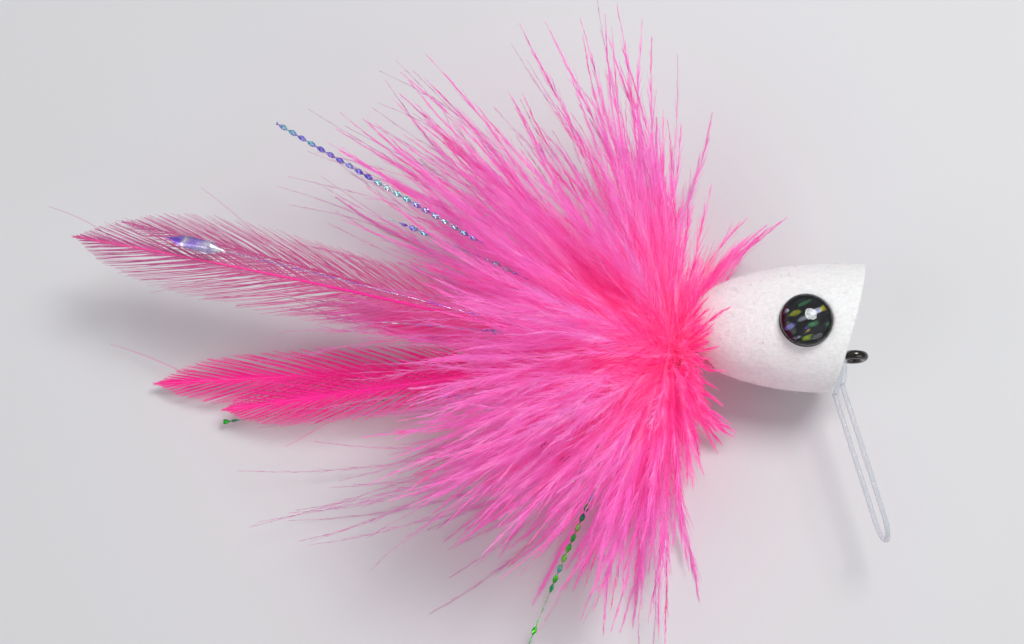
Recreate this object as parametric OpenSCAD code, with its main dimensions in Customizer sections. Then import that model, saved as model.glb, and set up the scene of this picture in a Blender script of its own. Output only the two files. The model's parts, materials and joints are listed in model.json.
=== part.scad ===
// Soft-foam topwater popper for a fly rod, lying on its left side as it rests on a bench.
// +X points out of the mouth along the hook shank, +Y towards the lure's back, +Z up off the bench.
// The origin is the centre of the hook eye.

/* [Hook] */
// Diameter of the hook wire
wire_d = 0.9; // [0.8:0.05:1.0]
// Radius of the eye ring, measured to the middle of the wire
eye_ring_r = 1.0; // [0.95:0.05:1.1]
// Radius of the land worn round inside the eye, where the knot sits
eye_land_r = 0.68; // [0.66:0.01:0.74]
// Distance from the eye's centre to the start of the bend
shank_length = 27; // [26:0.5:30]
// Distance between the shank and the point
hook_gap = 10.6; // [9.6:0.2:12]
// Straight run from the bend to the tip of the point
point_run = 6.4; // [5:0.2:7]

/* [Foam head] */
// Largest diameter of the head
head_d = 12.9; // [12.5:0.1:13.4]
// Distance from the widest ring back to where the taper would close
taper_length = 15.2; // [14.8:0.2:16]
// Height of the head's axis above the hook shank
head_rise = 2.95; // [2.8:0.05:3.1]
// Lean of the mouth, from square across the head
mouth_lean = 15.6; // [12:0.2:18]
// Depth of the cupped mouth
cup_depth = 2.0; // [1.4:0.1:2.4]

/* [Eyes] */
// Diameter of each domed eye
eye_d = 5.2; // [4.8:0.1:5.4]
// Height of the clear dome over its foil
dome_h = 1.5; // [1.2:0.1:1.7]

/* [Weed guard] */
// Diameter of the nylon line
line_d = 0.55; // [0.45:0.05:0.6]
// Reach of the loop below the point where it flexes
loop_reach = 15.2; // [14:0.2:17]
// Distance between the middles of the two legs
leg_spacing = 4.4; // [4:0.2:5]
// Lean of the loop towards the front
loop_lean = 15; // [10:1:18]

/* [Tail hackles] */
// Half width of the right pair's vanes
right_vane_w = 4.7; // [4:0.1:5]
// Half width of the left pair's vanes
left_vane_w = 3.3; // [2.8:0.1:3.6]
// Half thickness of a vane
vane_t = 0.25; // [0.2:0.01:0.28]

/* [Marabou and flash] */
// Widest radius of a marabou tuft
tuft_r = 1.8; // [1.4:0.1:1.9]
// Radius of a flash strand
flash_r = 0.2; // [0.15:0.01:0.25]

/* [Hidden] */
wire_r = wire_d / 2;
line_r = line_d / 2;
head_r = head_d / 2;
widest_x = -2.2;         // where the head is widest
head_back_x = -16.6;     // flat back of the head
mouth_x = -1.35;         // where the mouth plane crosses the shank's axis
cup_r = 5.2;             // radius of the cup at the mouth plane
cement_front_x = -4.4;
thread_r = 0.75;         // outside of the thread base
cement_r = 1.0;          // outside of the cement, and the bore through the foam
thread_front_x = -2.75;
thread_back_x = -26.0;
band_r = 1.75;           // thickest part of the tail's thread band
tail_band_x = [-26.2, -23.2];
collar_band_x = [-17.3, -16.65];
collar_band_r = 1.35;
front_ring_x = -18.3;    // where the front tufts leave their quill
rear_ring_x = -21.2;     // where the rear tufts leave their quill
quill_r = 0.3;
ring_r = 1.95;           // distance of a tuft's root from the shank's axis
root_r = 0.42;           // radius of a tuft where it leaves the quill
bench_z = -7.7;          // the surface that the lure lies on
tip_lift = 1.1;          // least height of a tuft's tip above the bench
eye_x = -5.55;           // centre of both eyes
eye_y = 2.15;
pocket_z = 5.8;          // floor of the flat pocket that an eye sits in
pad_t = 0.25;
foil_t = 0.15;
flex_x = -1.6;           // where the weed guard's legs start to flex
flex_y = -3.6;
guard_band_x = [-2.65, -1.75];
guard_band_r = 1.5;
guard_hole_r = 1.55;      // the foam is cut away round the guard's binding
guard_corner_x = -1.6;   // where the guard's legs turn down
guard_leg_z = 0.85;      // the guard's legs lie along both sides of the shank
butt_r = 0.22;
stem_z = [1.0, 1.85];    // distance of the inner and outer stems from the hook's plane
hackle_root_x = -26.35;
steps = 72;
$fn = steps;

// Each front tuft: bearing round the shank from +Y, angle of flare from the tail, and length
front_tufts = [
    [-12, 84, 30], [22, 74, 34], [56, 60, 31], [90, 50, 28],
    [124, 60, 29], [156, 72, 28], [199, 80, 27.5]
];
// Each rear tuft, in the same way; the first and last are pressed out along the bench
rear_tufts = [
    [-42, 38, 30], [5, 44, 38], [39, 40, 35], [73, 34, 28],
    [105, 34, 28], [132, 38, 32], [234, 36, 30]
];
// Each flash strand: root, middle and tip
flash_paths = [
    [[-21.6, 2.45, 0.9], [-38, 11, 4.5], [-57.5, 22.6, 5.5]],
    [[-21.6, 1.5, 2.0], [-33, 6.4, 8.6], [-46, 10.4, 12.6]],
    [[-21.6, 0, 2.5], [-33, -0.2, 11], [-46, -0.6, 15.4]],
    [[-21.6, -1.33, 2.42], [-31, -5.0, 8.9], [-41, -7.0, 13]],
    [[-19.6, -0.9, -1.6], [-26.5, -13, -5.6], [-33, -29.5, -5.5]],
    [[-19.6, -0.75, 1.5], [-25, -8, 5.2], [-28, -14, 7]],
    [[-26.5, 0.6, 2.4], [-50, 6.2, 6.0], [-68, 10.6, 5.6]],
    [[-26.5, -0.6, -2.4], [-46, -3.2, -5.6], [-63.5, -5.2, -6.4]]
];

// ---- helpers ----
function unit(v) = v / norm(v);
function bezier(a, b, c, t) = (1 - t) * (1 - t) * a + 2 * t * (1 - t) * b + t * t * c;
function heading(a, b, c, t) = unit((1 - t) * (b - a) + t * (c - b));
function across(v, side) = unit(side - (side * v) * v);

// A tube or cylinder along +X from x0 to x1, round the shank
module along_x(x0, x1, r) {
    translate([x0, 0, 0]) rotate([0, 90, 0]) cylinder(h = x1 - x0, r = r);
}

module sleeve(x0, x1, outer, inner) {
    difference() {
        along_x(x0, x1, outer);
        along_x(x0 - 1, x1 + 1, inner);
    }
}

// A spindle swept along a curve; each station is [how far along, half width, half thickness]
module swept(a, b, c, stations, side, sides = 10) {
    rings = [
        for (s = stations)
            let (
                middle = bezier(a, b, c, s[0]),
                t = heading(a, b, c, s[0]),
                u = across(t, side),
                v = cross(t, u)
            )
            for (k = [0 : sides - 1])
                middle + s[1] * cos(360 * k / sides) * u + s[2] * sin(360 * k / sides) * v
    ];
    last = len(stations) - 1;
    walls = [
        for (i = [0 : last - 1])
            for (k = [0 : sides - 1])
                let (n = (k + 1) % sides)
                [i * sides + k, (i + 1) * sides + k, (i + 1) * sides + n, i * sides + n]
    ];
    root_cap = [for (k = [0 : sides - 1]) k];
    tip_cap = [for (k = [sides - 1 : -1 : 0]) last * sides + k];
    polyhedron(points = rings, faces = concat([root_cap], walls, [tip_cap]), convexity = 6);
}

// ---- hook and bindings ----
// One forged wire: ringed eye, straight shank, round bend, barb and point
module hook() {
    bend_r = hook_gap / 2;
    bend_x = -shank_length;
    point_x = bend_x + point_run;
    straight = point_run * 0.45;    // the rest of the run tapers to the point
    barb_x = point_x - 2.4;
    barb_t = 0.3;
    color("dimgray") {
        difference() {
            union() {
                rotate([90, 0, 0]) rotate_extrude() translate([eye_ring_r, 0]) circle(wire_r);
                along_x(bend_x, -eye_ring_r, wire_r);
                translate([bend_x, -bend_r, 0]) rotate([0, 0, 90])
                    rotate_extrude(angle = 180) translate([bend_r, 0]) circle(wire_r);
                translate([bend_x, -hook_gap, 0]) rotate([0, 90, 0])
                    cylinder(h = straight, r = wire_r);
                translate([bend_x + straight, -hook_gap, 0]) rotate([0, 90, 0])
                    cylinder(h = point_run - straight, r1 = wire_r, r2 = 0.05);
                translate([barb_x, -hook_gap, -barb_t / 2]) linear_extrude(barb_t)
                    polygon([[-1.0, 0.75], [1.1, 0], [0.2, 0]]);
            }
            rotate([90, 0, 0]) cylinder(h = 4, r = eye_land_r, center = true);
        }
    }
}

// Thread wound along the shank, which grips the hook inside the foam
module shank_thread() {
    color("white") sleeve(thread_back_x, thread_front_x, thread_r, wire_r);
}

module stem_positions() {
    for (side = [-1, 1]) {
        for (z = stem_z) {
            translate([0, side * (z - stem_z[0]) * 0.4, side * z]) children();
        }
    }
}

// The bound ends of the four hackle stems, along both sides of the shank
module tail_stem_butts() {
    color("hotpink") stem_positions() along_x(tail_band_x[0], tail_band_x[1], butt_r);
}

// Thread that binds the tail to the shank
module tail_thread_band() {
    x0 = tail_band_x[0];
    x1 = tail_band_x[1];
    color("deeppink") difference() {
        translate([x0, 0, 0]) rotate([0, 90, 0]) rotate_extrude()
            polygon([
                [thread_r, 0], [band_r + 0.45, 0], [band_r + 0.6, 0.9], [band_r + 0.35, 2],
                [thread_r + 0.15, x1 - x0], [thread_r, x1 - x0]
            ]);
        stem_positions() along_x(x0 - 1, x1 + 1, butt_r);
        along_x(x0 - 1, thread_back_x, thread_r);
    }
}

// Thread that locks the front feathers against the back of the head
module collar_thread_band() {
    color("deeppink") sleeve(collar_band_x[0], collar_band_x[1], collar_band_r, thread_r);
}

// Thread that binds the weed guard's legs behind the hook eye
module guard_thread_band() {
    color("white") difference() {
        sleeve(guard_band_x[0], guard_band_x[1], guard_band_r, wire_r);
        for (side = [-1, 1]) {
            translate([0, 0, side * guard_leg_z]) along_x(-4, 0, line_r);
        }
    }
}

// Cured cement between the thread base and the foam
module shank_cement() {
    color("ivory") sleeve(head_back_x, cement_front_x, cement_r, thread_r);
}

// ---- head ----
function head_radius(x) = head_r * sqrt(max(0, 1 - pow((widest_x - x) / taper_length, 2)));

module head_outline() {
    points = 22;
    step = (widest_x - head_back_x) / points;
    taper = [
        for (k = [0 : points])
            let (x = head_back_x + k * step)
            [head_radius(x), x]
    ];
    polygon(concat([[0, head_back_x]], taper, [[head_r, 4], [0, 4]]));
}

// A round bullet of foam with a leaning, cupped mouth
module foam_head() {
    sphere_r = (cup_r * cup_r + cup_depth * cup_depth) / (2 * cup_depth);
    color("white") difference() {
        translate([0, head_rise, 0]) rotate([0, 90, 0]) rotate_extrude() head_outline();
        translate([mouth_x, 0, 0]) rotate([0, 0, -mouth_lean])
            translate([0, -20, -20]) cube([20, 50, 40]);
        translate([mouth_x, 0, 0]) rotate([0, 0, -mouth_lean])
            translate([sphere_r - cup_depth, head_rise, 0]) sphere(sphere_r, $fn = steps);
        along_x(head_back_x - 1, 2, cement_r);
        along_x(cement_front_x, 2, guard_hole_r);
        for (side = [-1, 1]) {
            translate([eye_x, eye_y, side * (pocket_z + 2)])
                cylinder(h = 4, r = eye_d / 2, center = true);
        }
    }
}

// ---- eyes ----
module on_side(side) {
    translate([eye_x, eye_y, 0]) rotate([side > 0 ? 0 : 180, 0, 0]) children();
}

// Sticky pad under the foil
module eye_pad(side) {
    color("black") on_side(side) translate([0, 0, pocket_z]) cylinder(h = pad_t, r = eye_d / 2);
}

// Printed metallic foil with a dark pupil and rim
module eye_foil(side) {
    color("slategray") on_side(side) translate([0, 0, pocket_z + pad_t])
        cylinder(h = foil_t, r = eye_d / 2);
}

// Clear resin dome over the foil
module eye_dome(side) {
    base = pocket_z + pad_t + foil_t;
    rim = eye_d / 2;
    ball_r = (rim * rim + dome_h * dome_h) / (2 * dome_h);
    color("lightgray", 0.4) on_side(side) intersection() {
        translate([0, 0, base + dome_h - ball_r]) sphere(ball_r, $fn = steps);
        translate([0, 0, base]) cylinder(h = dome_h + 1, r = rim + 1);
    }
}

// ---- weed guard ----
// The two bound legs: along the shank, then down in front of the mouth to where they flex
module weed_guard_butts() {
    color("gainsboro", 0.6) for (side = [-1, 1]) {
        translate([0, 0, side * guard_leg_z]) along_x(guard_band_x[0], guard_corner_x + 0.05, line_r);
        swept(
            [guard_corner_x, 0, side * guard_leg_z], [-0.9, -0.6, side * 1.75],
            [flex_x, flex_y + 0.2, side * leg_spacing / 2],
            [for (k = [0 : 8]) [k / 8, line_r, line_r]], [1, 0, 0], 12
        );
    }
}

// The free loop, which bends back as a fish takes it and springs down again
module weed_guard_loop() {
    bow = leg_spacing / 2;
    straight = loop_reach - bow;
    color("gainsboro", 0.6) translate([flex_x, flex_y, 0]) rotate([0, 0, loop_lean]) {
        for (side = [-1, 1]) {
            translate([0, -straight, side * bow]) rotate([-90, 0, 0])
                cylinder(h = straight, r = line_r);
        }
        translate([0, -straight, 0]) rotate([0, 90, 0]) rotate([0, 0, 180])
            rotate_extrude(angle = 180) translate([bow, 0]) circle(line_r);
    }
}

// ---- tail ----
// One long feather: a stem with a leaf-shaped vane, flat to the hook's plane
module hackle(root, middle, tip, vane_w) {
    color("hotpink") swept(
        root, middle, tip,
        [
            [0, butt_r, butt_r], [0.08, butt_r, butt_r], [0.2, vane_w * 0.5, vane_t],
            [0.35, vane_w * 0.85, vane_t], [0.55, vane_w, vane_t], [0.75, vane_w * 0.9, vane_t],
            [0.88, vane_w * 0.62, vane_t], [0.96, vane_w * 0.3, vane_t * 0.7], [1, 0.1, 0.08]
        ],
        [0, 1, 0]
    );
}

module right_outer_hackle() {
    hackle([hackle_root_x, 0.34, stem_z[1]], [-50, 6, 5.2], [-78.2, 11.3, 4.3], right_vane_w);
}

module right_inner_hackle() {
    hackle([hackle_root_x, 0, stem_z[0]], [-48, 7, 4.2], [-73.6, 13.2, 3.2], right_vane_w * 0.85);
}

module left_inner_hackle() {
    hackle([hackle_root_x, 0, -stem_z[0]], [-46, -2.2, -3.6], [-64, -4.4, -5.0], left_vane_w);
}

module left_outer_hackle() {
    hackle([hackle_root_x, -0.34, -stem_z[1]], [-48, -0.4, -4.7], [-71.4, -1.4, -6.2], left_vane_w);
}

// Soft clump of marabou between the two pairs of hackles
module tail_marabou() {
    color("deeppink") swept(
        [-26.35, 1.15, 0], [-36, 2.6, 0], [-50, 4.4, -0.2],
        [
            [0, 0.5, 0.35], [0.15, 1.3, 0.5], [0.35, 2.6, 0.8], [0.6, 3.2, 1.0],
            [0.8, 2.4, 0.9], [0.93, 1.2, 0.6], [1, 0.2, 0.2]
        ],
        [0, 1, 0]
    );
}

// ---- collar ----
// A feather's bare quill, wound round the shank
module quill_wrap(ring_x, turns) {
    color("palevioletred") for (k = [0 : turns - 1]) {
        translate([ring_x + (k - (turns - 1) / 2) * quill_r * 2.1, 0, 0]) rotate([0, 90, 0])
            rotate_extrude() translate([thread_r + quill_r + 0.01, 0]) circle(quill_r, $fn = 24);
    }
}

// Root of a tuft on its ring, the way it first points, and its tip, kept off the bench
function tuft_root(ring_x, tuft) = [ring_x, ring_r * cos(tuft[0]), ring_r * sin(tuft[0])];
function tuft_way(tuft) = [
    -cos(tuft[1]), sin(tuft[1]) * cos(tuft[0]), sin(tuft[1]) * sin(tuft[0])
];
function tuft_tip(ring_x, tuft) =
    let (straight = tuft_root(ring_x, tuft) + tuft[2] * tuft_way(tuft))
    [straight[0], straight[1], max(straight[2], bench_z + tip_lift)];
function tuft_elbow(ring_x, tuft) =
    let (middle = tuft_root(ring_x, tuft) + 0.45 * tuft[2] * tuft_way(tuft))
    [middle[0], middle[1], max(middle[2], bench_z + tuft_r / 2)];

module tuft(ring_x, tuft) {
    color("hotpink") swept(
        tuft_root(ring_x, tuft), tuft_elbow(ring_x, tuft), tuft_tip(ring_x, tuft),
        [
            [0, root_r, root_r], [0.14, tuft_r * 0.42, tuft_r * 0.4],
            [0.3, tuft_r * 0.78, tuft_r * 0.7], [0.5, tuft_r, tuft_r * 0.85],
            [0.72, tuft_r * 0.9, tuft_r * 0.75], [0.88, tuft_r * 0.5, tuft_r * 0.45],
            [1, 0.15, 0.15]
        ],
        [1, 0, 0]
    );
}

// ---- flash ----
module flash_strand(path) {
    color("lightsteelblue") swept(
        path[0], path[1], path[2],
        [for (k = [0 : 8]) [k / 8, flash_r, flash_r]], [0, 0, 1], 6
    );
}

hook();
shank_thread();
tail_thread_band();
collar_thread_band();
guard_thread_band();
shank_cement();
foam_head();
eye_pad(1);  // right_eye_pad
eye_foil(1);  // right_eye_foil
eye_dome(1);  // right_eye_dome
eye_pad(-1);  // left_eye_pad
eye_foil(-1);  // left_eye_foil
eye_dome(-1);  // left_eye_dome
weed_guard_butts();
weed_guard_loop();
tail_stem_butts();
right_outer_hackle();
right_inner_hackle();
left_inner_hackle();
left_outer_hackle();
tail_marabou();
quill_wrap(front_ring_x, 3);  // front_quill_wrap
quill_wrap(rear_ring_x, 4);  // rear_quill_wrap
for (k = [0 : len(front_tufts) - 1]) {
    tuft(front_ring_x, front_tufts[k]);
}
for (k = [0 : len(rear_tufts) - 1]) {
    tuft(rear_ring_x, rear_tufts[k]);
}
for (k = [0 : len(flash_paths) - 1]) {
    flash_strand(flash_paths[k]);
}
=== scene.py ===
import bpy
import bmesh
import json
import math
import numpy as np
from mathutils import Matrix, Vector, noise


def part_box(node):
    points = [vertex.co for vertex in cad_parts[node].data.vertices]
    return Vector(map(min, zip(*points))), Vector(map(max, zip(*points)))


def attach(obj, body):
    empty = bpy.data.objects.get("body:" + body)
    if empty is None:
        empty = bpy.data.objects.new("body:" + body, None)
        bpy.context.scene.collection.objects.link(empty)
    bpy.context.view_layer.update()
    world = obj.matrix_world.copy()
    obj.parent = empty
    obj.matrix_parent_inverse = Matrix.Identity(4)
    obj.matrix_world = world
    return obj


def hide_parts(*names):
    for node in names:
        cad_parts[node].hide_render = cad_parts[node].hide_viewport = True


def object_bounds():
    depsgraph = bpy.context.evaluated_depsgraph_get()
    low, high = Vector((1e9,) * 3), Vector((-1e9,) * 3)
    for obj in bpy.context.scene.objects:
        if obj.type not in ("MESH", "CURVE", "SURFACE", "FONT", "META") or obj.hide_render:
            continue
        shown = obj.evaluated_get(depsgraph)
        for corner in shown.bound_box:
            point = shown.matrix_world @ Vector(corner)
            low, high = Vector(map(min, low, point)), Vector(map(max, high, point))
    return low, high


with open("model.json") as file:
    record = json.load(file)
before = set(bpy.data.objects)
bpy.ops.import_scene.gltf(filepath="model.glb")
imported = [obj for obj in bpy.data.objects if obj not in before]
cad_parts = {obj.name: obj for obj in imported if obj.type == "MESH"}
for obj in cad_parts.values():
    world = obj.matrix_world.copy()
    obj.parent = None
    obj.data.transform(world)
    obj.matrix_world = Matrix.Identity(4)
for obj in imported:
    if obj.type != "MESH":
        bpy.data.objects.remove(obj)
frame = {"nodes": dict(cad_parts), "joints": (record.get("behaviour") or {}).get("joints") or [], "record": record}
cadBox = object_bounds()
mm = 0.001
joints = {joint["child"]: joint for joint in frame["joints"]}
bodyOf = {node: body for body, nodes in frame["record"]["behaviour"]["bodies"].items() for node in nodes}
benchZ = min(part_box(node)[0].z for node in frame["nodes"])
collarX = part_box("collar_thread_band")[0].x
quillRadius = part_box("front_quill_wrap")[1].y
quillX = (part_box("front_quill_wrap")[1].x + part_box("rear_quill_wrap")[0].x) / 2
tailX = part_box("tail_thread_band")[1].x
print("frame loaded,", len(frame["nodes"]), "nodes")


class Wire:
    # one output socket, on which sums and products can be written
    def __init__(self, skin, socket):
        self.skin = skin
        self.socket = socket

    def math(self, operation, first, second=0.0):
        return self.skin.math(operation, first, second)

    def __add__(self, other):
        return self.math("ADD", self, other)

    def __radd__(self, other):
        return self.math("ADD", other, self)

    def __sub__(self, other):
        return self.math("SUBTRACT", self, other)

    def __rsub__(self, other):
        return self.math("SUBTRACT", other, self)

    def __mul__(self, other):
        return self.math("MULTIPLY", self, other)

    def __rmul__(self, other):
        return self.math("MULTIPLY", other, self)

    def __truediv__(self, other):
        return self.math("DIVIDE", self, other)

    def __rtruediv__(self, other):
        return self.math("DIVIDE", other, self)

    def __lt__(self, other):
        return self.math("LESS_THAN", self, other)

    def __gt__(self, other):
        return self.math("GREATER_THAN", self, other)


class Skin:
    # one material, built node by node
    def __init__(self, name):
        self.material = bpy.data.materials.new(name)
        self.material.use_nodes = True
        self.tree = self.material.node_tree
        self.tree.nodes.clear()
        self.output = self.tree.nodes.new("ShaderNodeOutputMaterial")

    def node(self, kind, settings=None, inputs=None, out=0):
        made = self.tree.nodes.new(kind)
        for name, value in (settings or {}).items():
            if name == "stops":
                self.setStops(made.color_ramp, value)
            else:
                setattr(made, name, value)
        for name, value in (inputs or {}).items():
            socket = made.inputs[name]
            if isinstance(value, Wire):
                self.tree.links.new(value.socket, socket)
            else:
                socket.default_value = value
        return Wire(self, made.outputs[out])

    def setStops(self, ramp, stops):
        while len(ramp.elements) < len(stops):
            ramp.elements.new(0.5)
        for element, (place, colour) in zip(ramp.elements, stops):
            element.position = place
            element.color = (*colour, 1.0) if len(colour) == 3 else colour

    def math(self, operation, first, second=0.0):
        return self.node("ShaderNodeMath", {"operation": operation}, {0: first, 1: second})

    def place(self):
        return self.node("ShaderNodeTexCoord", out=3)

    def moved(self, centre=(0, 0, 0), turn=(0, 0, 0), scale=(1, 1, 1)):
        # centre is taken away first, so that the pattern turns and grows round it
        shifted = self.node("ShaderNodeVectorMath", {"operation": "SUBTRACT"},
                            {0: self.place(), 1: tuple(centre)})
        return self.node("ShaderNodeMapping", None, {"Vector": shifted, "Rotation": turn, "Scale": scale})

    def noise(self, vector, scale, detail=2.0, roughness=0.5):
        return self.node("ShaderNodeTexNoise", None,
                         {"Vector": vector, "Scale": scale, "Detail": detail, "Roughness": roughness})

    def ramp(self, value, stops):
        return self.node("ShaderNodeValToRGB", {"stops": stops}, {0: value})

    def fade(self, value, low, high):
        return self.node("ShaderNodeMapRange", {"interpolation_type": "SMOOTHSTEP"},
                         {0: value, 1: low, 2: high, 3: 0.0, 4: 1.0})

    def blend(self, factor, first, second, mode="MIX"):
        return self.node("ShaderNodeMix", {"data_type": "RGBA", "blend_type": mode},
                         {0: factor, 6: asColour(first), 7: asColour(second)}, out=2)

    def bump(self, height, distance, strength=0.6):
        return self.node("ShaderNodeBump", None,
                         {"Height": height, "Distance": distance, "Strength": strength})

    def principled(self, **values):
        names = {key.replace("_", " "): value for key, value in values.items()}
        if not isinstance(names.get("Base Color"), Wire):
            names["Base Color"] = asColour(names["Base Color"])
        return self.node("ShaderNodeBsdfPrincipled", None, names)

    def mixed(self, factor, first, second):
        return self.node("ShaderNodeMixShader", None, {0: factor, 1: first, 2: second})

    def surface(self, shader):
        self.tree.links.new(shader.socket, self.output.inputs["Surface"])
        return self.material


def asColour(value):
    return value if isinstance(value, Wire) or len(value) == 4 else (*value, 1.0)


def paint(red, green, blue):
    # screen colour, 0 to 255, as linear light
    def linear(channel):
        share = channel / 255
        return share / 12.92 if share <= 0.04045 else ((share + 0.055) / 1.055) ** 2.4
    return (linear(red), linear(green), linear(blue))


def addMesh(name, mesh, skin, body, replaced=()):
    piece = bpy.data.objects.new(name, mesh)
    bpy.context.scene.collection.objects.link(piece)
    mesh.materials.clear()
    mesh.materials.append(skin)
    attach(piece, body)
    if replaced:
        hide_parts(*replaced)
    return piece


def profileCurve(points):
    # a small closed outline that tubes are swept with
    data = bpy.data.curves.new("profile", "CURVE")
    spline = data.splines.new("POLY")
    spline.points.add(len(points) - 1)
    for point, (x, y) in zip(spline.points, points):
        point.co = (x, y, 0, 1)
    spline.use_cyclic_u = True
    outline = bpy.data.objects.new("profile", data)
    bpy.context.scene.collection.objects.link(outline)
    return outline


def roundProfile(sides):
    turn = 2 * math.pi / sides
    return profileCurve([(math.cos(k * turn), math.sin(k * turn)) for k in range(sides)])


def sweptMesh(name, strands, sides=3, outline=None, twists=None):
    # each strand is (points, radii) in metres; a tube with closed ends runs along every one
    data = bpy.data.curves.new(name, "CURVE")
    data.dimensions = "3D"
    data.twist_mode = "MINIMUM"
    profile = outline or roundProfile(sides)
    data.bevel_mode = "OBJECT"
    data.bevel_object = profile
    data.use_fill_caps = True
    for index, (points, radii) in enumerate(strands):
        spline = data.splines.new("POLY")
        spline.points.add(len(points) - 1)
        flat = np.ones((len(points), 4), np.float32)
        flat[:, :3] = points
        spline.points.foreach_set("co", flat.ravel())
        spline.points.foreach_set("radius", np.asarray(radii, np.float32))
        if twists:
            spline.points.foreach_set("tilt", np.asarray(twists[index], np.float32))
        spline.use_smooth = True
    carrier = bpy.data.objects.new(name, data)
    bpy.context.scene.collection.objects.link(carrier)
    bpy.context.view_layer.update()
    depsgraph = bpy.context.evaluated_depsgraph_get()
    mesh = bpy.data.meshes.new_from_object(carrier.evaluated_get(depsgraph))
    mesh.name = name
    bpy.data.objects.remove(carrier)
    bpy.data.curves.remove(data)
    bpy.data.objects.remove(profile)
    return mesh


def bezier(root, elbow, tip, count):
    t = np.linspace(0, 1, count)[:, None]
    return (1 - t) ** 2 * root + 2 * t * (1 - t) * elbow + t ** 2 * tip


def unit(v):
    return v / np.maximum(np.linalg.norm(v, axis=-1, keepdims=True), 1e-12)


def turnAbout(v, axis, angle):
    axis = unit(np.asarray(axis, float))
    return (v * math.cos(angle) + np.cross(axis, v) * math.sin(angle)
            + axis * np.dot(v, axis) * (1 - math.cos(angle)))


def keepOff(points, height):
    # nothing soft goes through the bench: what would is laid along it
    points = np.array(points, float)
    points[..., 2] = np.maximum(points[..., 2], height)
    return points


def spine(node, rootCorners=10, hinged=True):
    # root, elbow and tip of a swept CAD solid, from a centre line fitted through its corners
    corners = np.array([v.co for v in frame["nodes"][node].data.vertices], float)
    fromShank = np.hypot(corners[:, 1], corners[:, 2])
    root = corners[np.argsort(fromShank)[:rootCorners]].mean(axis=0)
    if hinged and bodyOf[node] in joints:
        root = np.array(joints[bodyOf[node]]["pos_m"])
    tip = corners[np.argmax(np.linalg.norm(corners - root, axis=1))]
    share = (corners - root) @ (tip - root) / np.dot(tip - root, tip - root)
    middle = np.array([np.polyval(np.polyfit(share, corners[:, axis], 2), 0.5) for axis in range(3)])
    return root, 2 * middle - (root + tip) / 2, tip


tones = {
    "core": paint(255, 42, 148),
    "hot": paint(255, 70, 170),
    "mid": paint(244, 112, 203),
    "light": paint(255, 172, 222),
    # shade: painted shade for the gaps between locks
    "shade": paint(232, 42, 146),
    "plum": paint(196, 84, 166),
    "dusk": paint(186, 104, 164),
    "quill": paint(240, 76, 150),
    "crimson": paint(246, 20, 156),
    "rose": paint(212, 90, 152),
    "mauve": paint(196, 94, 152),
}
paintedGlow = 0.24               # painted glow: emission that lifts the down's shading, in place of light scattered deep in the down, and the fluorescent dye's own glow
downLook = {
    "centre": (collarX - 1.2 * mm, 1.0 * mm, 0),   # the streaks and the paling start here
    "reach": 36 * mm,        # how far out the tip tone is reached
    "around": 13.0,          # streaks round the collar, and along each barb
    "outward": 90.0,
    "drift": (260, 420, 420),
}


def radialStreaks(skin):
    # noise drawn out along lines that leave the collar
    around, outward = downLook["around"], downLook["outward"]
    spot = skin.moved(downLook["centre"])
    flatX = skin.node("ShaderNodeSeparateXYZ", None, {0: spot})
    flatY = skin.node("ShaderNodeSeparateXYZ", None, {0: spot}, out=1)
    height = skin.node("ShaderNodeSeparateXYZ", None, {0: spot}, out=2)
    bearing = skin.math("ARCTAN2", flatY, flatX)
    reach = skin.node("ShaderNodeVectorMath", {"operation": "LENGTH"}, {0: spot}, out=1)
    polar = skin.node("ShaderNodeCombineXYZ", None,
                      {0: bearing * around, 1: reach * outward, 2: height * outward * 2.5})
    return skin.noise(polar, 1.0, 3.0, 0.6)


def downSkin(name, tipTone, paleShare=0.5):
    skin = Skin(name)
    away = skin.node("ShaderNodeVectorMath", {"operation": "DISTANCE"},
                     {0: skin.place(), 1: downLook["centre"]}, out=1) / downLook["reach"]
    streak = radialStreaks(skin)
    drift = skin.noise(skin.moved(scale=downLook["drift"]), 1.0, 2.0)
    base = skin.ramp(away + (drift - 0.5) * 0.4,
                     [(0.0, tones["core"]), (0.2, tones["hot"]), (0.48, tones["mid"]), (1.0, tipTone)])
    base = skin.blend(skin.fade(streak, 0.5, 0.68) * paleShare, base, tones["light"])
    # painted shade: the streaks' low values darken the down, as shade in the gaps between locks
    base = skin.blend(skin.fade(streak, 0.48, 0.32) * 0.75, base, tones["shade"])
    base = skin.blend(skin.fade(drift, 0.56, 0.72) * skin.fade(away, 0.3, 0.7) * 0.6, base, tones["plum"])
    # painted glow: the down's colour is also emitted, which lifts its shaded parts
    return skin.surface(skin.principled(
        Base_Color=base, Roughness=0.62, Sheen_Weight=0.3, Sheen_Roughness=0.4,
        Emission_Color=base, Emission_Strength=paintedGlow))


def vaneSkin(name, rootTone, middleTone, tipTone):
    skin = Skin(name)
    along = skin.node("ShaderNodeSeparateXYZ", None, {0: skin.place()})
    share = skin.fade(along, tailX, cadBox[0].x)
    drift = skin.noise(skin.moved(scale=(420, 1400, 900)), 1.0, 3.0)
    base = skin.ramp(share + (drift - 0.5) * 0.3, [(0.0, rootTone), (0.45, middleTone), (1.0, tipTone)])
    base = skin.blend(skin.fade(drift, 0.55, 0.75) * 0.3, base, tones["mid"])
    # painted glow: the feather's colour is also emitted, which lifts its shading
    return skin.surface(skin.principled(
        Base_Color=base, Roughness=0.5, Sheen_Weight=0.2, Sheen_Roughness=0.4,
        Emission_Color=base, Emission_Strength=paintedGlow * 0.7))


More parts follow.
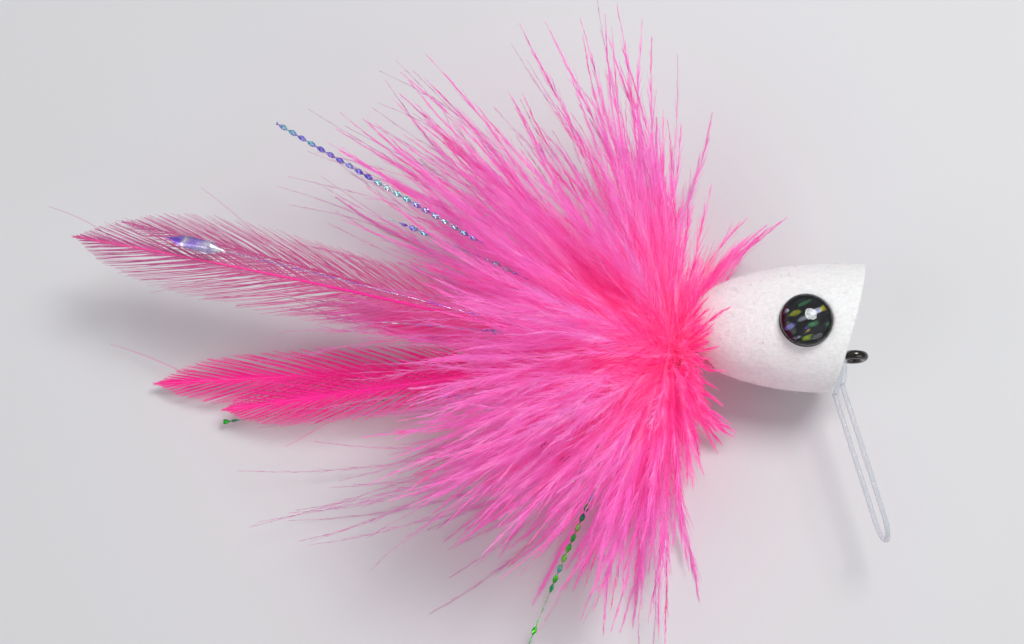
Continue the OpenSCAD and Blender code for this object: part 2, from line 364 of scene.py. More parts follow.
marabou = {
    "locks": 26,             # barbs in a tuft whose hairs lie together as a soft spear
    "sizes": (0.46, 1.03),   # shares of the CAD tuft's length
    "wisps": 7,              # loose, nearly bare barbs in a tuft
    "wispSizes": (0.7, 1.1),
    "fringe": 8,             # short locks that stand in front of each front tuft
    "fringeSizes": (0.24, 0.48),
    "fringeLean": (4, 32),   # to the head, in degrees
    "spread": 11,            # how far a barb strays round the shank, in degrees
    "flare": 9,              # how far it strays towards the head or the tail
    "shaft": 0.055 * mm,     # radius of a barb at its root
    "hairs": 165,            # hairs on a lock of full length
    "hair": 0.031 * mm,      # radius of a hair at its root
    "hairLength": 5.6 * mm,
    "wispHairs": 70,
    "wispHair": 0.022 * mm,
    "wispHairLength": 3.4 * mm,
    "strays": [              # loose barbs: how many, bearing, degrees from the tail, length in mm
        (16, (150, 214), (9, 27), (30, 43)),
        (14, (-24, 44), (26, 50), (30, 41)),
        (6, (205, 245), (24, 60), (26, 34)),
    ],
    "straySeed": 23,
    "fullLength": 33 * mm,   # length of barb that carries all the hairs
    "clear": 0.12 * mm,      # the least height of a barb over the bench
    "hairClear": 0.05 * mm,
    "wave": (2.0, 4.5),      # how often a barb waves, and how far as a share of its length
    "waveWidth": 0.03,
    "waveLift": 0.025,
    "leaning": {             # more locks, and how far they lean to the head, in degrees
        "front_tuft_5": (8, -18), "front_tuft_6": (24, -40), "front_tuft_7": (22, -48),
        "rear_tuft_6": (14, 16), "rear_tuft_7": (16, 16), "rear_tuft_1": (8, 10), "rear_tuft_2": (6, 8),
    },
}


def barb(rng, root, elbow, tip, curl=1.0, points=11):
    # one soft stem, a little wavy, that never reaches below the bench
    path = bezier(root, elbow, tip, points)
    length = np.linalg.norm(tip - root)
    t = np.linspace(0, 1, points)[:, None]
    side = unit(np.cross(tip - root, rng.normal(size=3)))
    lift = unit(np.cross(tip - root, side))
    wave = rng.uniform(*marabou["wave"])
    path = path + side * np.sin(t * wave + rng.uniform(0, 6)) * t * length * marabou["waveWidth"] * curl
    path = path + lift * np.sin(t * wave * 1.4 + rng.uniform(0, 6)) * t * length * marabou["waveLift"] * curl
    return keepOff(path, benchZ + marabou["clear"])


hairs = {
    "scatter": 0.75,         # how far a hair leaves the flat of its barb, in radians
    "openness": (0.6, 1.3),
    "shorten": 0.72,         # how much shorter the hairs at the tip are
    "lengths": (0.45, 1.1),
    "forward": 0.55,         # how far a hair bends to the tip of its barb
    "stray": 0.13,
    "taper": 0.72,
}


def barbules(rng, path, count, longest, thick, start=0.06, opening=36, closing=9, points=3):
    # fine side hairs, wide open near the root and folded to a point at the tip
    steps = len(path) - 1
    t = np.sort(rng.uniform(start, 1.0, count))
    place = t * steps
    cell = np.minimum(place.astype(int), steps - 1)
    part = (place - cell)[:, None]
    at = path[cell] * (1 - part) + path[cell + 1] * part
    way = unit(path[cell + 1] - path[cell])
    flat = unit(np.cross(way, rng.normal(size=3)))
    over = np.cross(way, flat)
    swing = np.where(rng.random(count) < 0.5, 0, math.pi) + rng.normal(0, hairs["scatter"], count)
    out = flat * np.cos(swing)[:, None] + over * np.sin(swing)[:, None]
    angle = np.radians(opening + (closing - opening) * t ** 0.8) * rng.uniform(*hairs["openness"], count)
    length = longest * (1 - hairs["shorten"] * t ** 1.6) * rng.uniform(*hairs["lengths"], count)
    length = length * np.minimum(1, 0.35 + 3.0 * (1 - t))
    first = way * np.cos(angle)[:, None] + out * np.sin(angle)[:, None]
    last = unit(first + way * hairs["forward"] + rng.normal(0, hairs["stray"], (count, 3)))
    share = np.linspace(0, 1, points)
    strands = []
    for index in range(count):
        line = [at[index] + length[index] * (s * first[index] * (1 - s / 2) + s * s / 2 * last[index])
                for s in share]
        strands.append((keepOff(line, benchZ + marabou["hairClear"]), thick * (1 - hairs["taper"] * share)))
    return strands


def lock(rng, root, elbow, tip, plump=1.0):
    # a barb whose hairs lie forward along it, so that it reads as one tapering spear
    path = barb(rng, root, elbow, tip, curl=rng.uniform(0.9, 1.9))
    reach = np.linalg.norm(tip - root)
    count = int(marabou["hairs"] * (0.3 + 0.7 * reach / marabou["fullLength"]))
    longest = marabou["hairLength"] * plump * rng.uniform(0.75, 1.15) * min(1.0, 0.35 + reach / (20 * mm))
    sides = barbules(rng, path, count, longest, marabou["hair"], start=0.03, opening=25, closing=7)
    return [(path, marabou["shaft"] * np.linspace(1, 0.4, len(path)))] + sides


def wisp(rng, root, elbow, tip):
    path = barb(rng, root, elbow, tip, curl=rng.uniform(1.2, 2.4), points=15)
    sides = barbules(rng, path, marabou["wispHairs"], marabou["wispHairLength"], marabou["wispHair"],
                     start=0.3, opening=34, closing=12)
    return [(path, marabou["shaft"] * np.linspace(0.7, 0.3, len(path)))] + sides


def strayed(rng, node, size, extraTilt=0.0, loose=1.0):
    # the tuft's own curve, grown by size and turned a little round the shank and along it
    root, elbow, tip = spine(node)
    shank = np.array([1.0, 0, 0])
    hinge = np.cross(shank, unit(np.array([0, root[1], root[2]])))
    bearing = math.radians(rng.normal(0, marabou["spread"]) * loose)
    tilt = math.radians(rng.normal(0, marabou["flare"]) * loose * 0.8 + extraTilt)
    start = root + rng.normal(0, 0.25 * mm, 3)
    legs = [turnAbout((end - root) * size, hinge, tilt) for end in (elbow, tip)]
    elbow, tip = [start + turnAbout(leg, shank, bearing) for leg in legs]
    return start, elbow, tip


def tuftLocks(rng, node, count, sizes, fringe=0):
    strands = []
    for index in range(count):
        strands += lock(rng, *strayed(rng, node, rng.uniform(*sizes) ** 0.85))
    extra, lean = marabou["leaning"].get(node, (0, 0))
    for index in range(extra):
        strands += lock(rng, *strayed(rng, node, rng.uniform(0.6, 1.02), -lean * rng.uniform(0.4, 1.0)))
    for index in range(fringe):
        size = rng.uniform(*marabou["fringeSizes"])
        line = strayed(rng, node, size, -rng.uniform(*marabou["fringeLean"]), 1.3)
        strands += lock(rng, *line, plump=0.8)
    return strands


def tuftWisps(rng, node, count, sizes, loose=1.3):
    strands = []
    for index in range(count):
        strands += wisp(rng, *strayed(rng, node, rng.uniform(*sizes), rng.uniform(0, 12), loose))
    return strands


def seeded(name):
    return np.random.default_rng(sum(ord(letter) * (place + 3) for place, letter in enumerate(name)))


def addDown(name, strands, skin, body="lure", replaced=()):
    addMesh(name, sweptMesh(name, strands), skin, body, replaced)


down = downSkin("marabouDown", tones["mid"])
thinDown = downSkin("looseDown", tones["dusk"], 0.2)
for node in sorted(name for name in frame["nodes"] if "_tuft_" in name):
    rng = seeded(node)
    fringe = marabou["fringe"] if node.startswith("front") else 0
    locks = tuftLocks(rng, node, marabou["locks"], marabou["sizes"], fringe)
    addDown(node.replace("_tuft_", "_marabou_"), locks, down, bodyOf[node], [node])
    wispCount = marabou["wisps"] * (1 if node.startswith("front") else 2)
    wisps = tuftWisps(rng, node, wispCount, marabou["wispSizes"])
    addDown(node.replace("_tuft_", "_wisps_"), wisps, thinDown, bodyOf[node])
print("collar made")

tail = {                     # down between the two pairs of hackles
    "seed": 71,
    "locks": 42,
    "sizes": (0.4, 1.25),
    "wisps": 26,
    "wispSizes": (0.8, 1.7),
    "loose": 2.0,            # how freely the wisps stray
}
tailRng = np.random.default_rng(tail["seed"])
tailLocks = tuftLocks(tailRng, "tail_marabou", tail["locks"], tail["sizes"])
addDown("tail_marabou_down", tailLocks, down, replaced=["tail_marabou"])
tailWisps = tuftWisps(tailRng, "tail_marabou", tail["wisps"], tail["wispSizes"], tail["loose"])
addDown("tail_wisps", tailWisps, thinDown)


def swung(bearing, flare):
    # a direction by its angle round the shank and its angle from the tail, in degrees
    out = np.array([0, math.cos(math.radians(bearing)), math.sin(math.radians(bearing))])
    way = out * math.sin(math.radians(flare)) - np.array([math.cos(math.radians(flare)), 0, 0])
    return out, way


def strayBarbs(rng):
    strands = []
    for count, bearings, flares, lengths in marabou["strays"]:
        for index in range(count):
            out, way = swung(rng.uniform(*bearings), rng.uniform(*flares))
            length = rng.uniform(*lengths) * mm
            root = out * (quillRadius + 0.65 * mm) + (quillX, 0, 0)
            strands += wisp(rng, root, root + (out * 0.3 + way * 0.7) * length * 0.5, root + way * length)
    return strands


addDown("stray_barbs", strayBarbs(np.random.default_rng(marabou["straySeed"])), thinDown)
print("tail marabou made")


collar = {                   # down at the back of the head
    "x": collarX + 0.2 * mm,
    "radius": quillRadius + 0.1 * mm,
    "seeds": {"collar": 19, "cuff": 37, "crown": 29},
    "locks": 110,
    "turn": 2.39996,         # between one lock and the next, in radians, and in degrees on the cuff
    "cuffTurn": 137.5,
    "length": (4.0 * mm, 9.5 * mm),
    "flare": (78, 124),      # degrees from the tail
    "cuff": 90,              # short locks that lie over the back of the head
    "cuffLength": (2.2 * mm, 5.2 * mm),
    "cuffFlare": (96, 138),
    "crown": 80,             # short locks that lie back over the bindings, on the upper side
    "crownRoot": (collarX + 0.7 * mm, quillRadius + 0.7 * mm),
    "crownBearing": (5, 175),      # degrees round the shank
    "crownFlare": (14, 66),
    "crownLength": (5.0 * mm, 13.0 * mm),
    "forward": [             # long locks that lean past the head: root, elbow and tip in mm from the band
        [(-0.1, 1.6, -1.0), (1.7, 7.4, -3.2), (10.9, 14.8, -1.4)],
        [(-0.1, 1.8, -0.8), (1.5, 8.0, -3.0), (9.7, 14.0, -2.0)],
        [(-0.1, 1.5, -1.2), (1.9, 7.0, -3.6), (8.9, 12.6, -2.6)],
        [(-0.1, 1.7, -1.0), (1.3, 8.6, -2.4), (7.9, 14.4, -0.6)],
        [(-0.2, -1.2, -1.4), (1.7, -4.4, -4.4), (5.9, -6.6, -5.6)],
        [(-0.2, -1.4, -1.0), (1.5, -5.0, -3.6), (4.7, -6.2, -4.2)],
    ],
}


def collarDown(rng):
    strands = []
    for index in range(collar["locks"]):
        bearing = index * collar["turn"] + rng.normal(0, 0.1)
        flare = math.radians(rng.uniform(*collar["flare"]))
        out = np.array([0, math.cos(bearing), math.sin(bearing)])
        way = -np.array([1.0, 0, 0]) * math.cos(flare) + out * math.sin(flare)
        length = rng.uniform(*collar["length"])
        root = out * collar["radius"] + (collar["x"] + rng.normal(0, 0.2 * mm), 0, 0)
        elbow = root + (out * 0.6 + way * 0.4) * length * 0.5
        strands += lock(rng, root, elbow, root + way * length, plump=0.75)
    return strands


def cuffDown(rng):
    strands = []
    for index in range(collar["cuff"]):
        out, way = swung(index * collar["cuffTurn"] + rng.normal(0, 8), rng.uniform(*collar["cuffFlare"]))
        length = rng.uniform(*collar["cuffLength"])
        root = out * (quillRadius + 0.35 * mm) + (collarX, 0, 0)
        elbow = root + (out * 0.8 + way * 0.2) * length * 0.5
        strands += lock(rng, root, elbow, root + way * length, plump=0.7)
    for root, elbow, tip in collar["forward"]:
        for copy in range(2):
            corners = [np.array(corner) * mm + (collarX, 0, 0) for corner in (root, elbow, tip)]
            strands += lock(rng, *(corner + rng.normal(0, 0.25 * mm, 3) for corner in corners), plump=0.95)
    return strands


def crownDown(rng):
    strands = []
    x, radius = collar["crownRoot"]
    for index in range(collar["crown"]):
        out, way = swung(rng.uniform(*collar["crownBearing"]), rng.uniform(*collar["crownFlare"]))
        length = rng.uniform(*collar["crownLength"])
        root = out * radius * rng.uniform(0.85, 1.0) + (x - rng.uniform(0, 2.6 * mm), 0, 0)
        elbow = root + (out + way) * length * 0.25
        strands += lock(rng, root, elbow, root + way * length, plump=0.9)
    return strands


for name, make in (("collar", collarDown), ("cuff", cuffDown), ("crown", crownDown)):
    addDown(name + "_down", make(np.random.default_rng(collar["seeds"][name])), down)
print("collar down made")


hackles = {
    "barbPoints": 6,
    "stem": 0.19 * mm,       # radius of the stem at its root
    "hair": 0.017 * mm,
    "hairs": 7,              # fine hairs on each barb
    "hairLength": 0.5 * mm,
    "clumps": 34,            # bunches of barbs that cling together along one side
    "clear": 0.1 * mm,       # the least height over the bench
    "open": (34, 12),        # angle of a barb to the stem, at the root and at the tip
    "fluffy": 0.22,          # share of the stem whose barbs are soft
    "strayThick": 0.035 * mm,
    "seed": 400,
    "vanes": {
        "right_outer": {"finish": "pale", "stemFinish": "stem", "halfWidth": 4.6 * mm, "barbs": 205,
                        "barb": 0.052 * mm, "droop": 0.02, "strays": 3, "reach": 0.985},
        "right_inner": {"finish": "pale", "stemFinish": "pale", "halfWidth": 3.4 * mm, "barbs": 110,
                        "barb": 0.045 * mm, "droop": 0.0, "strays": 2, "reach": 0.985},
        "left_inner": {"finish": "bright", "stemFinish": "stem", "halfWidth": 3.3 * mm, "barbs": 210,
                       "barb": 0.06 * mm, "droop": 0.0, "strays": 2, "reach": 0.99},
        "left_outer": {"finish": "bright", "stemFinish": "stem", "halfWidth": 3.3 * mm, "barbs": 210,
                       "barb": 0.06 * mm, "droop": 0.03, "strays": 1, "reach": 0.99},
    },
}


def vaneWidth(t):
    # half width of the feather's outline along the stem, as a share of its widest
    places = [0, 0.08, 0.2, 0.35, 0.55, 0.74, 0.87, 0.95, 1]
    widths = [0.35, 0.6, 0.85, 0.95, 1, 1, 0.82, 0.46, 0]
    return np.interp(t, places, widths)


def barbLength(t, angle, halfWidth, stemLength):
    # the length at which a barb that leaves the stem at t meets the outline
    reaches = np.linspace(0.3, 18, 80) * mm
    edge = halfWidth * vaneWidth(t + reaches * math.cos(angle) / stemLength)
    inside = reaches[reaches * math.sin(angle) < edge]
    return inside[-1] if len(inside) else reaches[0]


def hackle(rng, node, vane):
    root, elbow, tip = spine(node)
    stem = bezier(root, elbow, tip, 60)[:int(60 * vane["reach"])]
    strands = []
    steps = len(stem) - 1
    stemLength = np.linalg.norm(stem[-1] - stem[0])
    cling = rng.uniform(0, 1.6, (2, hackles["clumps"] + 1))
    for side in (-1, 1):
        for t in np.linspace(0.04, 0.995, vane["barbs"]):
            t = min(0.998, t + rng.normal(0, 0.0012))
            cell = min(int(t * steps), steps - 1)
            at = stem[cell] + (stem[cell + 1] - stem[cell]) * (t * steps - cell)
            way = unit(stem[cell + 1] - stem[cell])
            across = unit(np.array([0, 1.0, 0]) - way * way[1])
            over = np.cross(way, across)
            clump = int(t * hackles["clumps"])
            rootOpen, tipOpen = hackles["open"]
            angle = math.radians(rootOpen - (rootOpen - tipOpen) * t + rng.normal(0, 0.7))
            angle += (t * hackles["clumps"] - clump - 0.5) * 0.09 * cling[(side + 1) // 2, clump]
            length = barbLength(t, angle, vane["halfWidth"] * rng.uniform(0.92, 1.04), stemLength)
            fluff = max(0.0, 1 - t / hackles["fluffy"])
            first = way * math.cos(angle) + across * side * math.sin(angle)
            first = first + over * rng.normal(0, 0.05 + fluff * 0.5)
            bow = unit(first + way * 0.42 + over * (vane["droop"] + rng.normal(0, 0.04 + fluff * 0.3)))
            share = np.linspace(0, 1, hackles["barbPoints"])[:, None]
            line = at + length * (share * first * (1 - share / 2) + share ** 2 / 2 * bow)
            line = keepOff(line, benchZ + hackles["clear"])
            strands.append((line, vane["barb"] * np.linspace(1, 0.3, len(line))))
            strands += barbules(rng, line, int(hackles["hairs"] * (1 + fluff)), hackles["hairLength"],
                                hackles["hair"], start=0.05, opening=30, closing=12, points=2)
    for index in range(vane["strays"]):
        cell = int(rng.uniform(0.45, 0.93) * steps)
        way = unit(stem[cell + 1] - stem[cell])
        across = unit(np.array([0, 1.0, 0]) - way * way[1]) * rng.choice([-1, 1])
        reach = rng.uniform(7, 11) * mm
        bend = stem[cell] + (way * 0.75 + across * 0.5) * reach * 0.5
        tip = stem[cell] + (way * 0.93 + across * rng.uniform(0.3, 0.5)) * reach
        line = keepOff(bezier(stem[cell], bend, tip, 14), benchZ + hackles["clear"])
        strands.append((line, hackles["strayThick"] * np.linspace(1, 0.5, len(line))))
    return strands, [(stem + (0, 0, 0.06 * mm), hackles["stem"] * np.linspace(1, 0.22, len(stem)))]


vaneSkins = {
    "stem": vaneSkin("hackleStem", tones["hot"], tones["crimson"], tones["quill"]),
    "pale": vaneSkin("rightHackle", tones["hot"], tones["rose"], tones["mauve"]),
    "bright": vaneSkin("leftHackle", tones["crimson"], tones["crimson"], tones["crimson"]),
}
for index, (body, vane) in enumerate(hackles["vanes"].items()):
    strands, stem = hackle(np.random.default_rng(hackles["seed"] + index), body + "_hackle", vane)
    mesh = sweptMesh(body + "_vane", strands)
    addMesh(body + "_feather", mesh, vaneSkins[vane["finish"]], body, [body + "_hackle"])
    stemMesh = sweptMesh(body + "_stem", stem, sides=8)
    addMesh(body + "_stem", stemMesh, vaneSkins[vane["stemFinish"]], body)
print("hackles made")


flash = {
    "width": 0.52 * mm,
    "thickness": 0.045 * mm,
    "step": 0.25 * mm,       # length of one stretch of the path
    "clear": 0.35 * mm,      # the least height over the bench
    "fade": 0.03,            # share of a strand over which it opens or closes
    "pitch": 1.1 * mm,       # length of one half turn of the twist
    "folded": 0.16,          # share of the width where a strand is crushed to a thread
    "flat": ["flash_strand_7"],   # lies open on its feather without a twist
    "flatWidth": 2.3,
    "flatLift": 0.3 * mm,
    "flatRock": (0.25, 40),  # how far it rocks, and how often along its length
    "open": {                # where along each strand it lies open, and its film
        "flash_strand_1": ("violet", [(0.42, 1.1)]),
        "flash_strand_2": ("violet", [(0.5, 0.62), (0.82, 0.95)]),
        "flash_strand_3": ("violet", [(0.55, 0.64)]),
        "flash_strand_4": ("violet", [(0.6, 0.7)]),
        "flash_strand_5": ("lime", [(0.38, 0.78), (0.86, 0.93)]),
        "flash_strand_6": ("lime", [(0.55, 0.75)]),
        "flash_strand_7": ("pearl", [(0.86, 0.99)]),
        "flash_strand_8": ("lime", [(0.955, 1.1)]),
    },
}


def flashSkin(name, stops):
    skin = Skin(name)
    hue = skin.noise(skin.moved(scale=(420, 420, 420)), 1.0, 2.0)
    fine = skin.noise(skin.moved(scale=(4200, 4200, 4200)), 1.0, 1.0)
    base = skin.ramp(skin.fade(hue, 0.3, 0.7), stops)
    return skin.surface(skin.principled(Base_Color=base, Metallic=0.85, Roughness=0.12 + fine * 0.25,
                                        Normal=skin.bump(fine, 0.00002, 0.4), Coat_Weight=0.5))


films = {
    "violet": flashSkin("violetFlash", [(0, paint(120, 100, 225)), (0.3, paint(176, 170, 242)),
                                        (0.5, paint(130, 200, 226)), (0.8, paint(170, 226, 224)),
                                        (1, paint(236, 236, 252))]),
    "pearl": flashSkin("pearlFlash", [(0, paint(150, 96, 250)), (0.35, paint(206, 176, 255)),
                                      (0.5, paint(252, 250, 255)), (1, paint(186, 150, 255))]),
    "lime": flashSkin("limeFlash", [(0, paint(20, 150, 120)), (0.4, paint(60, 230, 60)),
                                    (0.7, paint(170, 255, 90)), (1, paint(90, 220, 220))]),
}


def ribbonOutline():
    w, t = flash["width"] / 2, flash["thickness"] / 2
    return profileCurve([(-w, -t), (w, -t), (w, t), (-w, t)])


for node in sorted(name for name in frame["nodes"] if name.startswith("flash_strand_")):
    root, elbow, tip = spine(node, rootCorners=6, hinged=False)
    length = np.linalg.norm(tip - root)
    path = keepOff(bezier(root, elbow, tip, int(length / flash["step"])), benchZ + flash["clear"])
    t = np.linspace(0, 1, len(path))
    film, stretches = flash["open"][node]
    opened = sum(np.clip((t - first) / flash["fade"], 0, 1) * np.clip((last - t) / flash["fade"], 0, 1)
                 for first, last in stretches)
    twist = t * length / flash["pitch"] * math.pi
    widths = flash["folded"] + (1 - flash["folded"]) * opened
    if node in flash["flat"]:
        rock, beat = flash["flatRock"]
        twist = rock * np.sin(t * beat)
        widths = flash["folded"] + (flash["flatWidth"] - flash["folded"]) * opened
        path = path + (0, 0, flash["flatLift"])
    mesh = sweptMesh(node + "_film", [(path, widths)], outline=ribbonOutline(), twists=[twist])
    addMesh(node.replace("_strand_", "_film_"), mesh, films[film], bodyOf[node], [node])
print("flash made")


foam = {
    "voxel": 0.16 * mm,
    "rounding": 3,
    "cell": 0.5 * mm,
    "cellDepth": 0.02 * mm,
    "whiskers": 5200,
    "whisker": 0.42 * mm,    # length
    "whiskerThick": 0.014 * mm,
    "eyeClear": 2.9 * mm,    # no whiskers nearer than this to the middle of an eye
    "seed": 8,
    "backPinkBounce": (3.8 * mm, -0.6 * mm),      # from clean to painted pink, from the back of the head: painted pink light bounced from the down
    "bellyPinkShade": (2.3 * mm, -0.5 * mm),     # the same from its lower side, for a darker painted pink shade
    "bellyReach": (12.6 * mm, 3.6 * mm),     # how far forward the painted shade on the lower side goes
    "pore": 4200.0,
}


def foamSkin():
    skin = Skin("closedCellFoam")
    place = skin.place()
    along = skin.node("ShaderNodeSeparateXYZ", None, {0: place})
    upward = skin.node("ShaderNodeSeparateXYZ", None, {0: place}, out=1)
    cells = skin.node("ShaderNodeTexVoronoi", {"feature": "F1"}, {"Vector": place, "Scale": foam["pore"]})
    nap = skin.noise(skin.moved(scale=(2300, 3600, 3600)), 1.0, 4.0, 0.65)
    tintEdgeNoise = skin.noise(place, 420.0, 3.0)
    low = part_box("foam_head")[0]
    shade = skin.ramp(nap, [(0.2, paint(226, 226, 224)), (0.8, paint(248, 249, 248))])
    # painted light: pink light bounced from the down is painted onto the back of the head, and a darker pink
    # painted shade onto its lower side
    back = skin.fade(along + (tintEdgeNoise - 0.5) * 0.006, *(low.x + end for end in foam["backPinkBounce"]))
    belly = skin.fade(upward + (tintEdgeNoise - 0.5) * 0.004, *(low.y + end for end in foam["bellyPinkShade"]))
    belly = belly * skin.fade(along, *(low.x + end for end in foam["bellyReach"]))
    tint = skin.blend(back * 0.34, shade, paint(244, 120, 176))
    tint = skin.blend(belly * 0.3, tint, paint(206, 120, 160))
    height = cells * 0.5 + nap
    return skin.surface(skin.principled(
        Base_Color=tint, Roughness=0.86 + (nap - 0.5) * 0.15, Normal=skin.bump(height, 0.00006, 0.7),
        Subsurface_Weight=0.2, Subsurface_Radius=(0.9, 0.7, 0.6), Subsurface_Scale=0.0007,
        Specular_IOR_Level=0.25, Sheen_Weight=0.25, Sheen_Roughness=0.6))


def makeHead(skin):
    copy = bmesh.new()
    copy.from_mesh(frame["nodes"]["foam_head"].data)
    bmesh.ops.remove_doubles(copy, verts=copy.verts, dist=0.002 * mm)
    rough = bpy.data.meshes.new("headRough")
    copy.to_mesh(rough)
    copy.free()
    block = bpy.data.objects.new("headRough", rough)
    bpy.context.scene.collection.objects.link(block)
    remesh = block.modifiers.new("voxels", "REMESH")
    remesh.mode = "VOXEL"
    remesh.voxel_size = foam["voxel"]
    bpy.context.view_layer.update()
    depsgraph = bpy.context.evaluated_depsgraph_get()
    mesh = bpy.data.meshes.new_from_object(block.evaluated_get(depsgraph))
    bpy.data.objects.remove(block)
    head = bmesh.new()
    head.from_mesh(mesh)
    for turn in range(foam["rounding"]):
        bmesh.ops.smooth_vert(head, verts=head.verts, factor=0.5, use_axis_x=True, use_axis_y=True,
                              use_axis_z=True)
    head.normal_update()
    for vert in head.verts:
        spot = vert.co / foam["cell"]
        swell = noise.noise(spot) + 0.6 * noise.noise(spot * 2.7)
        vert.co += vert.normal * swell * foam["cellDepth"]
    for face in head.faces:
        face.smooth = True
    head.to_mesh(mesh)
    head.free()
    return addMesh("foam_body", mesh, skin, "lure", ["foam_head"])


def whiskers(head, skin):
    rng = np.random.default_rng(foam["seed"])
    mesh = head.data
    chosen = rng.integers(0, len(mesh.polygons), foam["whiskers"])
    eyeSpots = [(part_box(node)[0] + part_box(node)[1]) / 2 for node in ("right_eye_foil", "left_eye_foil")]
    strands = []
    for index in chosen:
        face = mesh.polygons[int(index)]
        centre, normal = np.array(face.center), np.array(face.normal)
        nearest = min((face.center - spot).length for spot in eyeSpots)
        if nearest < foam["eyeClear"] or normal[0] < -0.9:
            continue
        lay = unit(np.cross(normal, rng.normal(size=3)) + np.array([-0.5, 0, 0]))
        rise = rng.uniform(0.1, 0.75)
        length = foam["whisker"] * rng.uniform(0.4, 1.2)
        middle = centre + (lay * 0.5 + normal * rise * 0.5) * length
        end = centre + (lay + normal * rise * 0.6) * length
        line = keepOff([centre - normal * 0.03 * mm, middle, end], benchZ + 0.02 * mm)
        strands.append((line, foam["whiskerThick"] * np.array([1, 0.8, 0.35])))
    addMesh("foam_nap", sweptMesh("foam_nap", strands), skin, "lure")


foamWhite = foamSkin()
head = makeHead(foamWhite)
whiskers(head, foamWhite)
print("head made")


eyes = {
    "rim": 2.3 * mm,
    "night": (0.003, 0.003, 0.006),
    "lean": 24,              # slant of the facets pressed into the foil, in degrees
    "facet": (1.5 * mm, 0.55 * mm),
    "seed": {"right": 3.0, "left": 8.0},
    "film": [                # painted glint colour of a facet, by chance
        (0.0, paint(10, 30, 120)), (0.25, paint(10, 120, 130)), (0.4, paint(70, 130, 30)),
        (0.55, paint(240, 220, 50)), (0.7, paint(90, 80, 210)), (0.85, paint(225, 228, 240)),
    ],
    "domeRings": 22,
    "domeSides": 72,
    "crown": 0.8,            # below 1 the dome is fuller than a ball
}


def foilSkin(name, centre, turn, seed):
    # a black eye on holographic foil, with painted glints: the flash of colour on a few slanting facets is painted
    # into the base colour
    skin = Skin(name)
    spot = skin.moved(centre, turn=(0, 0, turn))
    flat = skin.node("ShaderNodeVectorMath", {"operation": "MULTIPLY"}, {0: spot, 1: (1, 1, 0)})
    radius = skin.node("ShaderNodeVectorMath", {"operation": "LENGTH"}, {0: flat}, out=1)
    along, across = eyes["facet"]
    pressed = skin.node("ShaderNodeMapping", None, {
        "Vector": flat, "Scale": (1 / along, 1 / across, 1), "Location": (seed, seed, seed)})
    crumpled = skin.noise(pressed, 1.0, 3.0, 0.6)
    nearness = skin.node("ShaderNodeTexVoronoi", None, {"Vector": pressed, "Scale": 1.0})
    chance = skin.node("ShaderNodeTexVoronoi", None, {"Vector": pressed, "Scale": 1.0}, out=1)
    hue = skin.node("ShaderNodeSeparateXYZ", None, {0: chance})
    shown = skin.node("ShaderNodeSeparateXYZ", None, {0: chance}, out=1)
    # painted glints: chosen facets get a foil colour in place of black
    paintedGlint = skin.fade(shown, 0.4, 0.7) * skin.fade(nearness + (crumpled - 0.5) * 1.2, 0.62, 0.3)
    base = skin.blend(paintedGlint, eyes["night"], skin.ramp(hue, eyes["film"]))
    base = skin.blend(radius > eyes["rim"], base, (0.002, 0.002, 0.002))
    return skin.surface(skin.principled(Base_Color=base, Roughness=0.4 + crumpled * 0.1,
                                        Specular_IOR_Level=0.1,
                                        Normal=skin.bump(crumpled, 0.00004, 0.4)))


def domeSkin():
    skin = Skin("clearDome")
    clear = skin.node("ShaderNodeBsdfTransparent", None, {"Color": (0.97, 0.98, 0.99, 1)})
    gloss = skin.principled(Base_Color=(0.95, 0.96, 0.98), Metallic=1.0, Roughness=0.04)
    facing = skin.node("ShaderNodeFresnel", None, {"IOR": 1.5})
    return skin.surface(skin.mixed(facing, clear, gloss))


def paintNode(node, skin, smooth=True):
    piece = frame["nodes"][node]
    piece.data.materials.clear()
    piece.data.materials.append(skin)
    if smooth:
        for face in piece.data.polygons:
            face.use_smooth = True


dome = domeSkin()
for side, turn in (("right", -eyes["lean"]), ("left", eyes["lean"])):
    low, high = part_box(side + "_eye_foil")
    foil = foilSkin(side + "Foil", (low + high) / 2, math.radians(turn), eyes["seed"][side])
    paintNode(side + "_eye_foil", foil, False)
print("eyes made")


def domeMesh(side, skin):
    # a resin drop that meets the foam with a rolled rim
    low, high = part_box(side + "_eye_dome")
    centre = (low + high) / 2
    radius, height = (high.x - low.x) / 2, high.z - low.z
    up = 1 if side == "right" else -1
    base = low.z if up > 0 else high.z
    drop = bmesh.new()
    outline = []
    for step in range(eyes["domeRings"] + 1):
        angle = math.pi / 2 * step / eyes["domeRings"]
        rise = height * math.cos(angle) ** eyes["crown"] if step < eyes["domeRings"] else 0
        outline.append(drop.verts.new((radius * math.sin(angle), 0, rise)))
    for first, second in zip(outline, outline[1:]):
        drop.edges.new((first, second))
    bmesh.ops.spin(drop, geom=drop.verts[:] + drop.edges[:], cent=(0, 0, 0), axis=(0, 0, 1),
                   angle=2 * math.pi, steps=eyes["domeSides"], use_merge=True)
    bmesh.ops.remove_doubles(drop, verts=drop.verts, dist=0.001 * mm)
    rim = [edge for edge in drop.edges if edge.is_boundary]
    bmesh.ops.contextual_create(drop, geom=rim)
    bmesh.ops.recalc_face_normals(drop, faces=drop.faces)
    bmesh.ops.scale(drop, vec=(1, 1, up), verts=drop.verts)
    if up < 0:
        bmesh.ops.reverse_faces(drop, faces=drop.faces)
    bmesh.ops.translate(drop, vec=(centre.x, centre.y, base), verts=drop.verts)
    for face in drop.faces:
        face.smooth = len(face.verts) < 10
    mesh = bpy.data.meshes.new(side + "_dome")
    drop.to_mesh(mesh)
    drop.free()
    addMesh(side + "_eye_drop", mesh, skin, "lure", [side + "_eye_dome"])


for side in ("right", "left"):
    domeMesh(side, dome)


